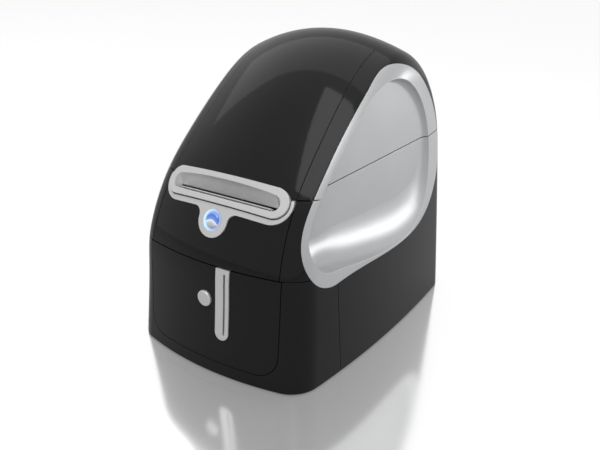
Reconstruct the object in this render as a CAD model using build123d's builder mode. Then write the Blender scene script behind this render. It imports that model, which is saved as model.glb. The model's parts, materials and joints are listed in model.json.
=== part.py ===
from build123d import *
from math import atan, cos, degrees, hypot, radians, sin, tan
import os

os.makedirs("parts", exist_ok=True)

# Overall size
WIDTH = 140
DEPTH = 197
HEIGHT = 184
FOOT = 1.0
FRONT_Y = -DEPTH / 2
REAR_Y = DEPTH / 2
# Planes well outside the case
OUT_X = WIDTH / 2 + 20
OUT_Y = DEPTH / 2 + 31.5
OUT_Z = HEIGHT + 16

# Walls and gaps
WALL = 3.0
SKIN = 1.4
SEAM = 0.5
PROUD = 0.8
RUN = 0.06
CLEAR = 0.4

# Outer form
SIDE_LEAN = 0.06
SIDE_FRONT_R = 600
SIDE_REAR_R = 900
SHOULDER_R = 19
SECTION_STEP = WIDTH / 4 + 3

# Centre profile, each point with its outward angle and the crown radius across the width there
# Front: depth behind the foremost point, height
FRONT_PROFILE = [
    (0, 0, 5.7, 207),
    (5, 50, 5.7, 207),
    (6.9, 68, 8, 207),
    (10.9, 81, 18, 200),
    (25, 107, 35, 190),
]
# Dome: depth from the middle, drop below the top
DOME_PROFILE = [
    (-51, 51.2, 45, 152),
    (-20, 22.8, 50, 122),
    (8, 4.8, 68, 110),
    (26, 0.1, 88, 108),
    (53, 6.5, 116, 130),
]
# Rear shoulder: depth ahead of the rearmost point, drop below the top
SHOULDER_PROFILE = [
    (22, 28, 150, 180),
    (7.5, 57, 168, 260),
]
# Rear wall: depth ahead of the rearmost point, height
REAR_PROFILE = [
    (3.3, 95, 176, 300),
    (1, 40, 178, 300),
    (0, 0, 178.3, 300),
]

# Seams
LOWER_SEAM = 67
SIDE_SEAM_Y = -54
PART_Z = 111.84
PART_GAP = 0.3
PART_ANGLE = degrees(atan(0.0822))
STRIP_HALF = 51.7
STRIP_TAPER = 0.059
STRIP_REAR_Z = 131

# Silver side panel, seen from the side
PANEL_OUTER = [
    (-54, 57.4), (-65.3, 59), (-73.6, 64.9), (-77.2, 73.5), (-75.2, 87), (-67, 101.5),
    (-50.8, 119.5), (-30, 138.5), (-6.2, 157.1), (14, 167.4), (34, 164), (54.2, 150),
    (70, 131), (77.6, 109), (75.5, 87.5), (62, 69.5), (46, 61.3), (26, 57.8),
]
# Dish outline: depth, height, how far the wall leans inward there
DISH = [
    (-58, 66.6, 0.76), (-68.5, 71.5, 0.7), (-73, 82, 0.35), (-69, 94, 0.12), (-56.5, 110.7, 0.1),
    (-44.2, 123.2, 0.1), (-25.6, 139.9, 0.1), (-7.2, 153.6, 0.12), (12, 161, 0.18), (31.4, 156, 0.22),
    (47, 144.5, 0.26), (58, 129, 0.32), (63.5, 113, 0.45), (65, 96, 0.7), (61.5, 79, 1.0),
    (51, 65.5, 1.25), (34, 59.5, 1.25), (10, 58.8, 1.22), (-14, 61, 1.1), (-38, 64.2, 0.95),
]
DISH_TILT = 5.5
# Dish steps: depth below the widest part of the side, wall shift there
DISH_STEPS = [(-4, -4), (7.5, 1), (13, 6), (16, 12), (17.3, 19)]
PAN_WALL = 2.0

# Label exit
EXIT_Y = FRONT_Y + 24.9
EXIT_Z = 105
EXIT_ANGLE = 35
BEZEL_W = 86.8
BEZEL_H = 17.2
BEZEL_PROUD = 3
BEZEL_BACK = 7
BEZEL_CROWN = 190
SCOOP_W = 79
SCOOP_H = 10.4
SLOT_W = 73
SLOT_H = 2.6
SLOT_V = -2.9
CRADLE_W = 91
CRADLE_H = 24.4

# Feed button
BUTTON_Y = FRONT_Y + 15.3
BUTTON_Z = 89.9
BUTTON_ANGLE = 24
BUTTON_R = 4.6
BUTTON_GAP = 0.35
RING_W = 1.7
RING_R = BUTTON_R + RING_W
TAB_R = RING_R + 3.9
BUTTON_TUBE = 9
BUTTON_TUBE_R = RING_R + 2.2
TAB_V = -17.6

# Cover hinge
HINGE_DROP = 5.7
HINGE_INSET = 12.9
HINGE_PIN_R = 1.5
HINGE_ARM_X = 14
HINGE_ARM_W = 4.2
HINGE_ARM_R = 3
HINGE_ARM_GAP = 0.6
HINGE_EAR_W = 4
HINGE_EAR_R = 4

# Tape tray
TRAY_SIDE = 21.1
TRAY_HALF = WIDTH / 2 - TRAY_SIDE
TRAY_BOTTOM = 8.8
TRAY_CORNER = 13
TRAY_BODY_HALF = TRAY_HALF - 3.4
TRAY_FLOOR = 10.5
TRAY_TOP = 60
TRAY_REAR = 12
TRAY_WALL = 2
TRAY_BODY_R = 8
BAR_X = 13.1
BAR_W = 9.2
BAR_BOTTOM = 23.6
TAPE_SLOT_X = 14.6
TRAY_BUTTON_Z = 45.7
TRAY_BUTTON_R = 4.9
TRAY_BUTTON_PROUD = 1.2
TRAY_BUTTON_L = 10
WELL_FRONT = FRONT_Y + 18.5
REEL_X = 20
REEL_Y = -36
FEED_Y = REEL_Y - 33
REEL_R = 4
FEED_R = 3.4
SPINDLE_R = 2
CASSETTE_HALF = TRAY_BODY_HALF - TRAY_WALL - 5.5
CASSETTE_H = 27

# Chassis
BASE_T = 2.5
BAY_SIDE = 18
BAY_WALL = 1.5
BAY_HALF = WIDTH / 2 - BAY_SIDE - BAY_WALL
BAY_FRONT = FRONT_Y + 28.5
RAIL_LAP = 2.2
RAIL_H = 2.8
RUNNER_Z = 35.5
RUNNER_H = 3
RUNNER_W = 3
RUNNER_GAP = 0.6
RAIL_REACH = BAY_HALF - TRAY_BODY_HALF - RUNNER_W + RAIL_LAP
BAY_REAR = 30
DECK_Z = 68
DECK_T = 2.5
DECK_REAR = REAR_Y - 18.5
FOOT_R = 7
FOOT_SEAT = 1.2
FEET = [(-46, FRONT_Y + 22.5), (46, FRONT_Y + 22.5), (-48, REAR_Y - 16.5), (48, REAR_Y - 16.5)]
POSTS = [(-57, -40), (57, -40), (-57, 60), (57, 60)]
POST_R = 4
POST_H = 11
SCREW_R = 1.5
SCREW_HEAD_R = 3
SCREW_L = 9
BOARD_Y = REAR_Y - 24.5
BOARD_T = 1.6
BOARD_HALF = 45
INLET_X = -32
INLET_HALF_W = 6
INLET_HALF_H = 6.5
INLET_BORE_R = 3.4
DATA_HALF_W = 6
DATA_HALF_H = 5.5
INLET_REAR = REAR_Y - 2.5
DATA_REAR = REAR_Y - 1.5
PORT_Z = 22.5
PORT_DEPTH = 9

# Label roll
SPOOL_Y = 25
ROLL_R = 34
ROLL_W = 57
ROLL_GAP = 1.5
WELL_R = ROLL_R + ROLL_GAP
WELL_WALL = 2
SPOOL_Z = DECK_Z + DECK_T + WELL_WALL + WELL_R
WELL_HALF = 38
WELL_SIDE_DROP = 4
SPOOL_R = 11
SPOOL_END = 5.5
FLANGE_R = ROLL_R - 3
FLANGE_T = 2
CORE_T = 1.7
JOURNAL_R = 4

# Print mechanism
PLATEN_Y = EXIT_Y + 15.6
PLATEN_Z = EXIT_Z - 10
PLATEN_R = 5
PLATEN_SHAFT_R = 2.5
BUSH_R = 4
FRAME_IN = 33
FRAME_T = 2.5
# Top edge of the frame plates, from the platen's axis
FRAME_TOP = [(-6, 1), (-3, 6.5), (18, 13), (30, 13), (34, 1)]
MOTOR_Y = PLATEN_Y + 16
MOTOR_Z = PLATEN_Z - 13
MOTOR_R = 10
MOTOR_L = 19
MOTOR_SHAFT_R = 1
GEAR_W = 3.6
TOOTH_H = 1.9
TOOTH_W = 0.9
GEAR_GAP = 0.35
PLATEN_GEAR_R = 8
PLATEN_TEETH = 20
IDLER_R = 6
IDLER_TEETH = 15
IDLER_PIN_R = 1.5
PINION_R = 3.4
PINION_TEETH = 8
PIN_END = 1.3
PIVOT_Y = PLATEN_Y + 24
PIVOT_Z = PLATEN_Z + 9
PIVOT_R = 2
PIVOT_EYE_R = 3.6
HEAD_GAP = 0.35
HEAD_T = 2
HEAD_SIDE_T = 2
LEVER_Y = PLATEN_Y + 12
LEVER_Z = PLATEN_Z - 5
LEVER_PIN_R = 2
LEVER_T = 3
LEVER_H = 25.5
RAIL_Y = PLATEN_Y + 30
RAIL_Z = PLATEN_Z - 11
RAIL_R = 2


def centre_profile():
    points = [(FRONT_Y + y, z, angle, crown) for y, z, angle, crown in FRONT_PROFILE]
    points += [(y, HEIGHT - z, angle, crown) for y, z, angle, crown in DOME_PROFILE]
    points += [(REAR_Y - y, HEIGHT - z, angle, crown) for y, z, angle, crown in SHOULDER_PROFILE]
    points += [(REAR_Y - y, z, angle, crown) for y, z, angle, crown in REAR_PROFILE]
    return points


def profile_section(x, inset):
    points = []
    for y, z, angle, crown in centre_profile():
        drop = x * x / (2 * crown) + inset
        py = y + cos(radians(angle)) * drop
        pz = z - sin(radians(angle)) * drop if z > 0 else 0
        points.append((py, pz))
    return points


def side_walls(inset):
    with BuildPart() as walls:
        for z in (-5, OUT_Z):
            half = WIDTH / 2 - z * SIDE_LEAN - inset
            front = [(half - y * y / (2 * SIDE_FRONT_R), y) for y in (-OUT_Y, -OUT_Y / 2)]
            rear = [(half - y * y / (2 * SIDE_REAR_R), y) for y in (OUT_Y / 2, OUT_Y)]
            right = front + [(half, 0)] + rear
            left = [(-x, y) for x, y in reversed(right)]
            with BuildSketch(Plane.XY.offset(z)):
                with BuildLine():
                    Spline(*right)
                    Line(right[-1], left[0])
                    Spline(*left)
                    Line(left[-1], right[0])
                make_face()
        loft(ruled=True)
    return walls.part


def envelope(inset):
    walls = side_walls(inset)
    with BuildPart() as form:
        for step in (-2, -1, 0, 1, 2):
            x = step * SECTION_STEP
            points = profile_section(x, inset)
            start = (points[1][0] - points[0][0], points[1][1] - points[0][1])
            end = (points[-1][0] - points[-2][0], points[-1][1] - points[-2][1])
            with BuildSketch(Plane.YZ.offset(x)):
                with BuildLine():
                    Spline(*points, tangents=(start, end))
                    Line(points[-1], points[0])
                make_face()
        loft()
        add(walls, mode=Mode.INTERSECT)
        long_edges = form.edges().filter_by(lambda e: e.bounding_box().size.Z > 20)
        shoulders = long_edges.filter_by(lambda e: abs(e.center().X) > 40)
        fillet(shoulders, SHOULDER_R - inset)
    return form.part


def block(x0, x1, y0, y1, z0, z1):
    with BuildPart() as solid:
        with Locations(((x0 + x1) / 2, (y0 + y1) / 2, (z0 + z1) / 2)):
            Box(x1 - x0, y1 - y0, z1 - z0)
    return solid.part


def rod(radius, x0, x1, y, z):
    with BuildPart() as solid:
        with BuildSketch(Plane.YZ.offset(x0)):
            with Locations((y, z)):
                Circle(radius)
        extrude(amount=x1 - x0)
    return solid.part


def rounded_trough(half, y0, y1, z0, z1, radius):
    with BuildPart() as solid:
        add(block(-half, half, y0, y1, z0, z1))
        low_edges = solid.edges().filter_by(Axis.Y).group_by(Axis.Z)[0]
        fillet(low_edges, radius)
    return solid.part


def closed_prism(points, x0, x1):
    with BuildPart() as solid:
        with BuildSketch(Plane.YZ.offset(x0)):
            with BuildLine():
                Spline(*points, periodic=True)
            make_face()
        extrude(amount=x1 - x0)
    return solid.part


def dish(grow):
    tilt = radians(DISH_TILT)
    with BuildPart() as solid:
        for depth, shift in DISH_STEPS:
            origin = (WIDTH / 2 - depth - grow, 0, 0)
            plane = Plane(origin=origin, x_dir=(sin(tilt), cos(tilt), 0), z_dir=(cos(tilt), -sin(tilt), 0))
            points = []
            for i, (y, z, lean) in enumerate(DISH):
                before = DISH[i - 1]
                after = DISH[(i + 1) % len(DISH)]
                ty = after[0] - before[0]
                tz = after[1] - before[1]
                size = hypot(ty, tz)
                inward = shift * (lean if shift > 0 else 0.25) - grow
                points.append(((y + inward * tz / size) / cos(tilt), z - inward * ty / size))
            with BuildSketch(plane):
                with BuildLine():
                    Spline(*points, periodic=True)
                make_face()
        loft()
    return solid.part


def toothed_wheel(outer, teeth, bore, y, z):
    with BuildPart() as wheel:
        with BuildSketch(Plane.YZ.offset(gear_x)):
            with Locations((y, z)):
                Circle(outer - TOOTH_H + 0.8)
                with PolarLocations(outer - TOOTH_H / 2, teeth):
                    Rectangle(TOOTH_H, TOOTH_W)
                Circle(bore, mode=Mode.SUBTRACT)
        extrude(amount=GEAR_W)
    return wheel.part


# Reference planes
PARTING = Plane(
    origin=(0, 0, PART_Z),
    x_dir=(1, 0, 0),
    z_dir=(0, -sin(radians(PART_ANGLE)), cos(radians(PART_ANGLE))),
)
EXIT_FACE = Plane(
    origin=(0, EXIT_Y, EXIT_Z),
    x_dir=(1, 0, 0),
    z_dir=(0, -cos(radians(EXIT_ANGLE)), sin(radians(EXIT_ANGLE))),
)
BUTTON_FACE = Plane(
    origin=(0, BUTTON_Y, BUTTON_Z),
    x_dir=(1, 0, 0),
    z_dir=(0, -cos(radians(BUTTON_ANGLE)), sin(radians(BUTTON_ANGLE))),
)

outer = envelope(0)
proud = envelope(-PROUD)
skin = envelope(SKIN)
cavity = envelope(WALL)
shell = outer - cavity

with BuildPart() as above_parting:
    with BuildSketch(PARTING.offset(PART_GAP)):
        Rectangle(3 * OUT_X, 3 * OUT_Y)
    extrude(amount=OUT_Z)
with BuildPart() as below_parting:
    with BuildSketch(PARTING.offset(-PART_GAP)):
        Rectangle(3 * OUT_X, 3 * OUT_Y)
    extrude(amount=-OUT_Z)


def strip(margin):
    low = STRIP_HALF - margin
    high = STRIP_HALF - STRIP_TAPER * OUT_Z - margin
    with BuildPart() as solid:
        with BuildSketch(Plane.XZ):
            with BuildLine():
                Polyline((-low, 0), (low, 0), (high, OUT_Z), (-high, OUT_Z), close=True)
            make_face()
        extrude(amount=OUT_Y, both=True)
    return solid.part


def exit_prism(margin, back=60, front=30):
    with BuildPart() as solid:
        with BuildSketch(EXIT_FACE.offset(-back)):
            SlotOverall(BEZEL_W + 2 * margin, BEZEL_H + 2 * margin)
        extrude(amount=back + front)
    return solid.part


def tray_outline(margin, depth_from, depth_to):
    half = TRAY_HALF + margin
    bottom = TRAY_BOTTOM - margin
    top = LOWER_SEAM - SEAM + margin
    with BuildPart() as solid:
        with BuildSketch(Plane.XZ.offset(-depth_from)) as face:
            with Locations((0, (bottom + top) / 2)):
                Rectangle(2 * half, top - bottom)
            low_corners = face.vertices().sort_by(Axis.Y)[:2]
            fillet(low_corners, TRAY_CORNER + margin)
        extrude(amount=depth_from - depth_to)
    return solid.part


def mirrored(solid):
    return solid.mirror(Plane.YZ)


zone_right = closed_prism(PANEL_OUTER, 30, OUT_X)
zone_left = mirrored(zone_right)
hollow_right = dish(0)
pan_right = dish(PAN_WALL)
pan_left = mirrored(pan_right)
base_top = FOOT + BASE_T
deck_top = DECK_Z + DECK_T
hinge_y = REAR_Y - HINGE_INSET
hinge_z = PART_Z + hinge_y * tan(radians(PART_ANGLE)) + HINGE_DROP / cos(radians(PART_ANGLE))


# Outer case, body side
with BuildPart() as base_plate:
    add(cavity)
    add(block(-OUT_X, OUT_X, -OUT_Y, OUT_Y, FOOT, base_top), mode=Mode.INTERSECT)
    with BuildSketch(Plane.XY.offset(base_top)):
        with Locations(*POSTS):
            Circle(POST_R)
    extrude(amount=POST_H)
    with BuildSketch(Plane.XY.offset(FOOT)):
        with Locations(*POSTS):
            Circle(SCREW_R)
    extrude(amount=BASE_T + POST_H, mode=Mode.SUBTRACT)
    with BuildSketch(Plane.XY.offset(FOOT)):
        with Locations(*POSTS):
            Circle(SCREW_HEAD_R)
        with Locations(*FEET):
            Circle(FOOT_R)
    extrude(amount=FOOT_SEAT, mode=Mode.SUBTRACT)
    for x in (-BOARD_HALF + 1, BOARD_HALF - 5):
        add(block(x, x + 4, BOARD_Y - 4, BOARD_Y, base_top, base_top + 58))
base_plate.part.label = "base plate"
export_step(base_plate.part, "parts/base_plate.step")

with BuildPart() as rubber_feet:
    with BuildSketch():
        with Locations(*FEET):
            Circle(FOOT_R)
    extrude(amount=FOOT + FOOT_SEAT)
rubber_feet.part.label = "rubber feet"
export_step(rubber_feet.part, "parts/rubber_feet.step")

with BuildPart() as casing_screws:
    with BuildSketch(Plane.XY.offset(FOOT)):
        with Locations(*POSTS):
            Circle(SCREW_HEAD_R)
    extrude(amount=FOOT_SEAT)
    with BuildSketch(Plane.XY.offset(FOOT + FOOT_SEAT)):
        with Locations(*POSTS):
            Circle(SCREW_R)
    extrude(amount=SCREW_L)
    with BuildSketch(Plane.XY.offset(FOOT)):
        with Locations(*POSTS):
            Rectangle(3.2, 0.7)
            Rectangle(0.7, 3.2)
    extrude(amount=0.8, mode=Mode.SUBTRACT)
casing_screws.part.label = "casing screws"
export_step(casing_screws.part, "parts/casing_screws.step")

with BuildPart() as lower_front_housing:
    add(shell)
    lower_top = LOWER_SEAM - SEAM / 2
    add(block(-OUT_X, OUT_X, -OUT_Y, SIDE_SEAM_Y - SEAM / 2, FOOT, lower_top), mode=Mode.INTERSECT)
    add(tray_outline(SEAM, -OUT_Y, -30), mode=Mode.SUBTRACT)
    add(zone_right, mode=Mode.SUBTRACT)
    add(zone_left, mode=Mode.SUBTRACT)
lower_front_housing.part.label = "lower front housing"
export_step(lower_front_housing.part, "parts/lower_front_housing.step")


def inlet_block(rear):
    x0 = INLET_X - INLET_HALF_W
    x1 = INLET_X + INLET_HALF_W
    return block(x0, x1, BOARD_Y + BOARD_T, rear, PORT_Z - INLET_HALF_H, PORT_Z + INLET_HALF_H)


def data_block(rear):
    z0 = PORT_Z - DATA_HALF_H
    z1 = PORT_Z + DATA_HALF_H
    return block(-DATA_HALF_W, DATA_HALF_W, BOARD_Y + BOARD_T, rear, z0, z1)


with BuildPart() as rear_housing:
    add(shell)
    add(block(-OUT_X, OUT_X, SIDE_SEAM_Y + SEAM / 2, OUT_Y, FOOT, OUT_Z), mode=Mode.INTERSECT)
    add(below_parting.part, mode=Mode.INTERSECT)
    add(zone_right, mode=Mode.SUBTRACT)
    add(zone_left, mode=Mode.SUBTRACT)
    add(inlet_block(OUT_Y), mode=Mode.SUBTRACT)
    add(data_block(OUT_Y), mode=Mode.SUBTRACT)
rear_housing.part.label = "rear housing"
export_step(rear_housing.part, "parts/rear_housing.step")

above_lower_seam = block(-OUT_X, OUT_X, -OUT_Y, 0, LOWER_SEAM + SEAM / 2, OUT_Z)
front_corners = shell & above_lower_seam & below_parting.part
front_corners = front_corners - strip(-SEAM / 2) - zone_right - zone_left

with BuildPart() as front_corner_right:
    add(front_corners)
    add(block(20, OUT_X, -OUT_Y, -50, 0, OUT_Z), mode=Mode.INTERSECT)
front_corner_right.part.label = "front corner, right"
export_step(front_corner_right.part, "parts/front_corner_right.step")

with BuildPart() as front_corner_left:
    add(front_corners)
    add(block(-OUT_X, -20, -OUT_Y, -50, 0, OUT_Z), mode=Mode.INTERSECT)
front_corner_left.part.label = "front corner, left"
export_step(front_corner_left.part, "parts/front_corner_left.step")

with BuildPart() as cradle_outline:
    with BuildSketch(EXIT_FACE.offset(-30)) as face:
        SlotOverall(CRADLE_W, CRADLE_H)
        with Locations((0, (TAB_V - CRADLE_H / 4) / 2)):
            Rectangle(2 * TAB_R, -TAB_V - CRADLE_H / 4)
        with Locations((0, TAB_V)):
            Circle(TAB_R)
        necks = face.vertices().filter_by(lambda v: abs(abs(v.X) - TAB_R) < 0.2)
        necks = necks.sort_by(Axis.Y)[-2:]
        fillet(necks, 5)
    extrude(amount=60)

fascia_wall = shell & above_lower_seam & below_parting.part & strip(SEAM / 2)
fascia_wall = fascia_wall - cradle_outline.part - exit_prism(SEAM)
with BuildPart() as front_fascia:
    add(fascia_wall.solids().sort_by(SortBy.VOLUME)[-1])
front_fascia.part.label = "front fascia"
export_step(front_fascia.part, "parts/front_fascia.step")

with BuildPart() as exit_cradle:
    add(proud)
    add(cavity, mode=Mode.SUBTRACT)
    add(cradle_outline.part, mode=Mode.INTERSECT)
    add(below_parting.part, mode=Mode.INTERSECT)
    with BuildSketch(BUTTON_FACE.offset(-BUTTON_TUBE)):
        Circle(BUTTON_TUBE_R)
    extrude(amount=BUTTON_TUBE - 1.5)
    with BuildSketch(BUTTON_FACE.offset(-BUTTON_TUBE)):
        Circle(BUTTON_TUBE_R - 1.5)
    extrude(amount=BUTTON_TUBE - 3.5, mode=Mode.SUBTRACT)
    with BuildSketch(BUTTON_FACE.offset(-BUTTON_TUBE)):
        Circle(RING_R)
    extrude(amount=20, mode=Mode.SUBTRACT)
    add(exit_prism(SEAM), mode=Mode.SUBTRACT)
exit_cradle.part.label = "exit cradle"
export_step(exit_cradle.part, "parts/exit_cradle.step")

with BuildPart() as button_light_ring:
    with BuildSketch(BUTTON_FACE.offset(-3)):
        Circle(RING_R)
        Circle(BUTTON_R + BUTTON_GAP, mode=Mode.SUBTRACT)
    extrude(amount=4.2)
button_light_ring.part.label = "button light ring"
export_step(button_light_ring.part, "parts/button_light_ring.step")

with BuildPart() as feed_button:
    with BuildSketch(BUTTON_FACE.offset(-6)):
        Circle(BUTTON_R)
    extrude(amount=8)
    crown_edge = feed_button.edges().group_by(Axis.Y)[0]
    fillet(crown_edge, 1.4)
feed_button.part.label = "feed button"
export_step(feed_button.part, "parts/feed_button.step")

with BuildPart() as button_board:
    with BuildSketch(BUTTON_FACE.offset(-BUTTON_TUBE - BOARD_T)):
        Circle(BUTTON_TUBE_R)
    extrude(amount=BOARD_T)
    with BuildSketch(BUTTON_FACE.offset(-BUTTON_TUBE)):
        Rectangle(5, 5)
    extrude(amount=1.6)
    add(exit_prism(SEAM), mode=Mode.SUBTRACT)
button_board.part.label = "feed button board"
export_step(button_board.part, "parts/button_board.step")

# Silver side panels with their dished pans
panel_right = (shell + (pan_right & outer)) & zone_right
panel_right = panel_right - hollow_right
panel_left = mirrored(panel_right)

with BuildPart() as side_panel_lower_right:
    add(panel_right)
    add(below_parting.part, mode=Mode.INTERSECT)
side_panel_lower_right.part.label = "lower side panel, right"
export_step(side_panel_lower_right.part, "parts/side_panel_lower_right.step")

with BuildPart() as side_panel_lower_left:
    add(panel_left)
    add(below_parting.part, mode=Mode.INTERSECT)
side_panel_lower_left.part.label = "lower side panel, left"
export_step(side_panel_lower_left.part, "parts/side_panel_lower_left.step")

with BuildPart() as side_panel_upper_right:
    add(panel_right)
    add(above_parting.part, mode=Mode.INTERSECT)
side_panel_upper_right.part.label = "upper side panel, right"
export_step(side_panel_upper_right.part, "parts/side_panel_upper_right.step")

with BuildPart() as side_panel_upper_left:
    add(panel_left)
    add(above_parting.part, mode=Mode.INTERSECT)
side_panel_upper_left.part.label = "upper side panel, left"
export_step(side_panel_upper_left.part, "parts/side_panel_upper_left.step")


# Hinged cover
hinge_bar = rod(HINGE_DROP, -OUT_X, OUT_X, hinge_y, hinge_z)
hinge_corner = block(-OUT_X, OUT_X, hinge_y, OUT_Y, hinge_z - 20, hinge_z) - hinge_bar
strip_rear_cut = block(-OUT_X, OUT_X, 0, OUT_Y, 0, STRIP_REAR_Z)
ear_x = HINGE_ARM_X + HINGE_ARM_W + HINGE_ARM_GAP
ear_end = ear_x + HINGE_EAR_W
hinge_bore = rod(HINGE_PIN_R + RUN, -ear_end, ear_end, hinge_y, hinge_z)

with BuildPart() as cover_shell:
    add(shell)
    add(above_parting.part, mode=Mode.INTERSECT)
    add(zone_right, mode=Mode.SUBTRACT)
    add(zone_left, mode=Mode.SUBTRACT)
    add((outer - skin) & strip(0) - strip_rear_cut, mode=Mode.SUBTRACT)
    add(exit_prism(0), mode=Mode.SUBTRACT)
    add(hinge_corner, mode=Mode.SUBTRACT)
    for x in (-ear_end, ear_x):
        ear = rod(HINGE_EAR_R, x, x + HINGE_EAR_W, hinge_y, hinge_z)
        web = block(x, x + HINGE_EAR_W, hinge_y - HINGE_EAR_R, hinge_y + 8, hinge_z, hinge_z + 12)
        add((ear + web) & skin)
    add(hinge_bore, mode=Mode.SUBTRACT)
    for x in (-HINGE_ARM_X - HINGE_ARM_W - CLEAR, HINGE_ARM_X - CLEAR):
        arm_room = rod(HINGE_ARM_R + CLEAR, x, x + HINGE_ARM_W + 2 * CLEAR, hinge_y, hinge_z)
        add(arm_room, mode=Mode.SUBTRACT)
cover_shell.part.label = "cover shell"
export_step(cover_shell.part, "parts/cover_shell.step")

with BuildPart() as cover_front_panel:
    add(outer)
    add(skin, mode=Mode.SUBTRACT)
    add(above_parting.part, mode=Mode.INTERSECT)
    add(strip(SEAM / 2), mode=Mode.INTERSECT)
    add(strip_rear_cut, mode=Mode.SUBTRACT)
    add(exit_prism(0.2), mode=Mode.SUBTRACT)
cover_front_panel.part.label = "cover front panel"
export_step(cover_front_panel.part, "parts/cover_front_panel.step")

with BuildPart() as exit_bezel:
    with BuildSketch(EXIT_FACE.offset(-BEZEL_BACK)):
        SlotOverall(BEZEL_W, BEZEL_H)
    extrude(amount=BEZEL_BACK + 5)
    with BuildSketch(Plane(origin=EXIT_FACE.origin, x_dir=(1, 0, 0), z_dir=EXIT_FACE.y_dir).offset(-30)):
        with Locations((0, BEZEL_CROWN)):
            Circle(BEZEL_CROWN + BEZEL_PROUD)
    extrude(amount=60, mode=Mode.INTERSECT)
    with BuildSketch(EXIT_FACE.offset(5)):
        SlotOverall(SCOOP_W + 2, SCOOP_H + 1.2)
    with BuildSketch(EXIT_FACE.offset(-1)):
        with Locations((0, -0.6)):
            SlotOverall(SCOOP_W - 1.6, SCOOP_H - 2)
    with BuildSketch(EXIT_FACE.offset(-5.5)):
        with Locations((0, SLOT_V)):
            SlotOverall(SLOT_W, SLOT_H)
    loft(mode=Mode.SUBTRACT)
    with BuildSketch(EXIT_FACE.offset(-BEZEL_BACK)):
        with Locations((0, SLOT_V)):
            SlotOverall(SLOT_W, SLOT_H)
    extrude(amount=2, mode=Mode.SUBTRACT)
    with BuildSketch(EXIT_FACE.offset(-BEZEL_BACK)):
        with Locations((0, SLOT_V - SLOT_H / 2 - 0.35)):
            Rectangle(SLOT_W - 6, 0.7)
    extrude(amount=4, mode=Mode.SUBTRACT)
exit_bezel.part.label = "exit bezel"
export_step(exit_bezel.part, "parts/exit_bezel.step")

with BuildPart() as tear_bar:
    with BuildSketch(EXIT_FACE.offset(-BEZEL_BACK)):
        with Locations((0, SLOT_V - SLOT_H / 2 - 0.35)):
            Rectangle(SLOT_W - 6, 0.7)
    extrude(amount=4)
    with BuildSketch(EXIT_FACE.offset(-BEZEL_BACK + 4)):
        with GridLocations(2, 1, 33, 1):
            with Locations((0, SLOT_V - SLOT_H / 2 - 0.35)):
                Rectangle(1.0, 0.7)
    extrude(amount=-0.9, mode=Mode.SUBTRACT)
tear_bar.part.label = "tear bar"
export_step(tear_bar.part, "parts/tear_bar.step")

# Hinge brackets and pins on the body side
with BuildPart() as hinge_brackets:
    for x in (-HINGE_ARM_X - HINGE_ARM_W, HINGE_ARM_X):
        with BuildSketch(Plane.YZ.offset(x)):
            with BuildLine():
                Polyline(
                    (hinge_y, hinge_z + HINGE_ARM_R),
                    (hinge_y - 16, hinge_z + HINGE_ARM_R),
                    (hinge_y - 16, hinge_z - 9),
                    (hinge_y - 9.5, hinge_z - 9),
                    (hinge_y - 9.5, hinge_z - 2.5),
                    (hinge_y, hinge_z - 2.5),
                    close=True,
                )
            make_face()
            with Locations((hinge_y, hinge_z)):
                Circle(HINGE_ARM_R)
        extrude(amount=HINGE_ARM_W)
        foot = block(x, x + HINGE_ARM_W, hinge_y - 16, hinge_y + 20, hinge_z - 45, hinge_z - 9)
        add(foot & cavity)
    add(rod(HINGE_PIN_R, -OUT_X, OUT_X, hinge_y, hinge_z), mode=Mode.SUBTRACT)
hinge_brackets.part.label = "hinge brackets"
export_step(hinge_brackets.part, "parts/hinge_brackets.step")

with BuildPart() as hinge_pins:
    add(rod(HINGE_PIN_R, HINGE_ARM_X, ear_end, hinge_y, hinge_z))
    add(rod(HINGE_PIN_R, -ear_end, -HINGE_ARM_X, hinge_y, hinge_z))
hinge_pins.part.label = "hinge pins"
export_step(hinge_pins.part, "parts/hinge_pins.step")

# Chassis inside the case
with BuildPart() as tray_bay:
    for side in (-1, 1):
        wall_x = side * (BAY_HALF + BAY_WALL / 2)
        with Locations((wall_x, (BAY_REAR + BAY_FRONT) / 2, (base_top + DECK_Z) / 2)):
            Box(BAY_WALL, BAY_REAR - BAY_FRONT, DECK_Z - base_top)
        rail_x = side * (BAY_HALF - RAIL_REACH / 2)
        rail_y = (BAY_REAR + BAY_FRONT) / 2
        rail_step = RUNNER_H / 2 + RUNNER_GAP + RAIL_H / 2
        with Locations((rail_x, rail_y, RUNNER_Z - rail_step), (rail_x, rail_y, RUNNER_Z + rail_step)):
            Box(RAIL_REACH, BAY_REAR - BAY_FRONT, RAIL_H)
    with Locations((0, BAY_REAR - BAY_WALL / 2, (base_top + DECK_Z) / 2)):
        Box(2 * BAY_HALF, BAY_WALL, DECK_Z - base_top)
    add(pan_right, mode=Mode.SUBTRACT)
    add(pan_left, mode=Mode.SUBTRACT)
tray_bay.part.label = "tray bay"
export_step(tray_bay.part, "parts/tray_bay.step")

with BuildPart() as deck:
    add(block(-BAY_HALF - BAY_WALL, BAY_HALF + BAY_WALL, -OUT_Y, DECK_REAR, DECK_Z, deck_top))
    add(cavity, mode=Mode.INTERSECT)
    add(pan_right, mode=Mode.SUBTRACT)
    add(pan_left, mode=Mode.SUBTRACT)
    with BuildSketch(Plane.XY.offset(DECK_Z)):
        with Locations((0, DECK_REAR - 10)):
            SlotOverall(40, 8)
    extrude(amount=DECK_T, mode=Mode.SUBTRACT)
deck.part.label = "deck"
export_step(deck.part, "parts/deck.step")

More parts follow.
